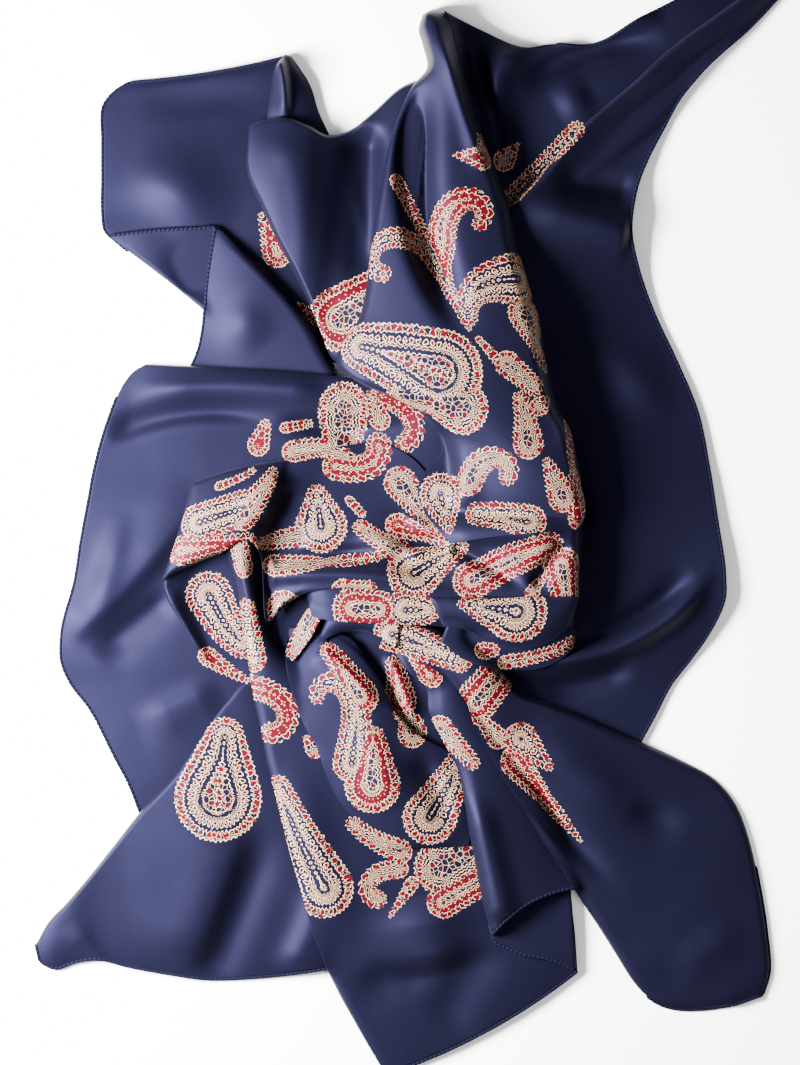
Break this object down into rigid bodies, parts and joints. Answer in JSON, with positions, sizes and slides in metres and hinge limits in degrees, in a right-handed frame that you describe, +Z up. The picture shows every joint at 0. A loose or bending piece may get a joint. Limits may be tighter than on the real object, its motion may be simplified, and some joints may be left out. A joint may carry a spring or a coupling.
{
  "type": "silk scarf",
  "caption": "Square silk scarf with rolled hems, twisted and dropped in a loose heap of soft folds; paisley print in a plain navy border.",
  "frame": {"origin": "on the surface that the heap lies on, below the middle of its outline", "axes": "+X to the right and +Y to the top of the heap as seen from straight above, +Z up"},
  "size_m": [0.58, 0.847, 0.0532],
  "materials": {
    "silk": "satin"
  },
  "bodies": {
    "root": {"heap_core": "silk", "top_left_corner": "silk", "corner_curl": "silk", "pleat_underside": "silk", "upper_left_border": "silk", "left_border": "silk", "top_border": "silk", "right_border": "silk", "bottom_left_corner": "silk", "loop_inside": "silk", "front_panel": "silk", "rolled_edge_inside": "silk", "mouth_fold": "silk", "front_fold": "silk", "open_roll": "silk", "bottom_right_corner": "silk", "top_lobe": "silk", "mouth_rim": "silk", "lace_strip": "silk", "left_band": "silk", "under_strip": "silk", "centre_bowl": "silk", "right_pouch": "silk", "main_ridge": "silk"}
  },
  "joints": []
}
